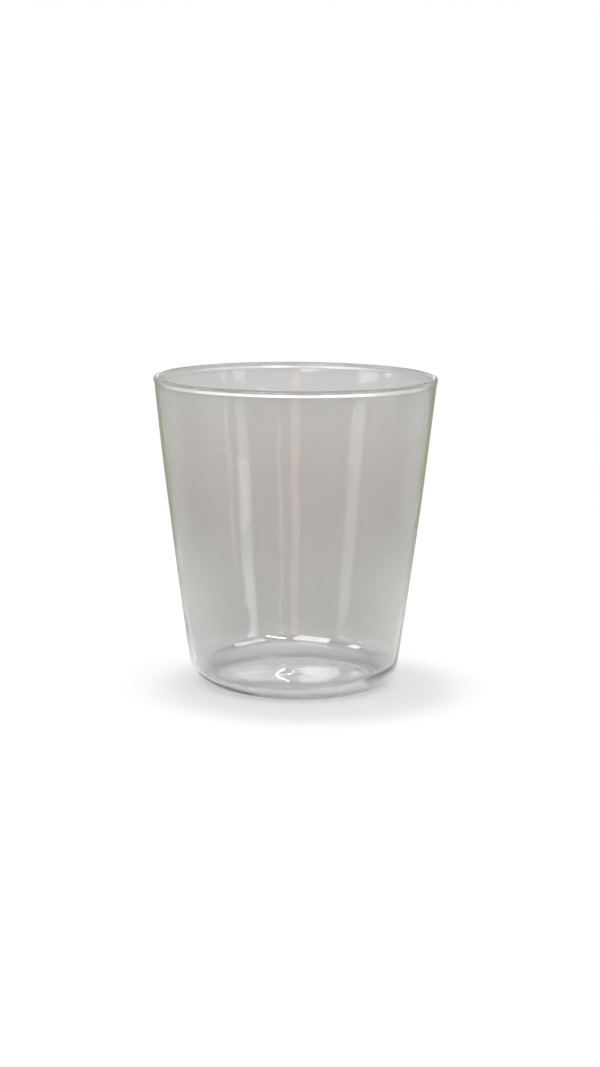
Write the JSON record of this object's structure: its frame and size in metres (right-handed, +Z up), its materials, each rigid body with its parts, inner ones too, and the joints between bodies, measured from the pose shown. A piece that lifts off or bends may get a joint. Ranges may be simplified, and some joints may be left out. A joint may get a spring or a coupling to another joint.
{
  "type": "cortado glass",
  "caption": "Clear thin single-walled tumbler with a flared wall, round heel and fire-polished rim, for serving a small milk coffee.",
  "frame": {"origin": "centre of the foot, on the plane that the glass stands on", "axes": "+Z up along the axis of the glass, out of its mouth; X and Y are any level pair, because the glass is round"},
  "size_m": [0.072, 0.072, 0.079],
  "materials": {
    "clear_glass": "clear, smooth and fire-polished, with a faint grey-green cast"
  },
  "bodies": {
    "root": {"glass_tumbler": "clear_glass"}
  },
  "joints": []
}
